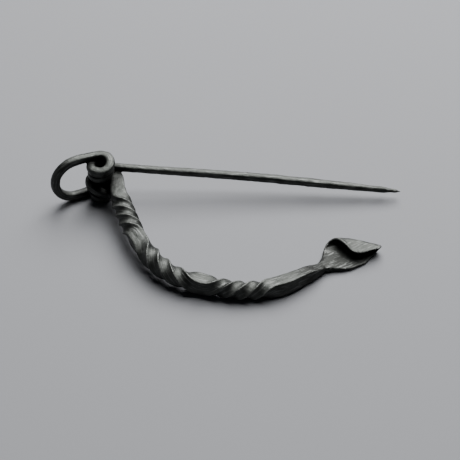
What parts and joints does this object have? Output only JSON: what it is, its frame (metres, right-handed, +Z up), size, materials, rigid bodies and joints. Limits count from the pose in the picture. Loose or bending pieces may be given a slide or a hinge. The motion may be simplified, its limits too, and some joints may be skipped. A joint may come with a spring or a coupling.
{
  "type": "fibula brooch",
  "caption": "Hand-forged iron fibula brooch lying on its side: twisted bow, spring coil with an open loop, long straight pin and a catch plate rolled into a trough.",
  "frame": {"origin": "middle of the brooch's footprint, on the surface that it lies on", "axes": "+X along the pin from the coil to the point, +Y from the bow to the pin, +Z up from the surface"},
  "size_m": [0.1116, 0.0516, 0.0174],
  "materials": {
    "forged_iron": "dark oil-blackened forged iron with a satin wax sheen, paler and smoother on worn edges"
  },
  "bodies": {
    "root": {"brooch": "forged_iron"}
  },
  "joints": []
}
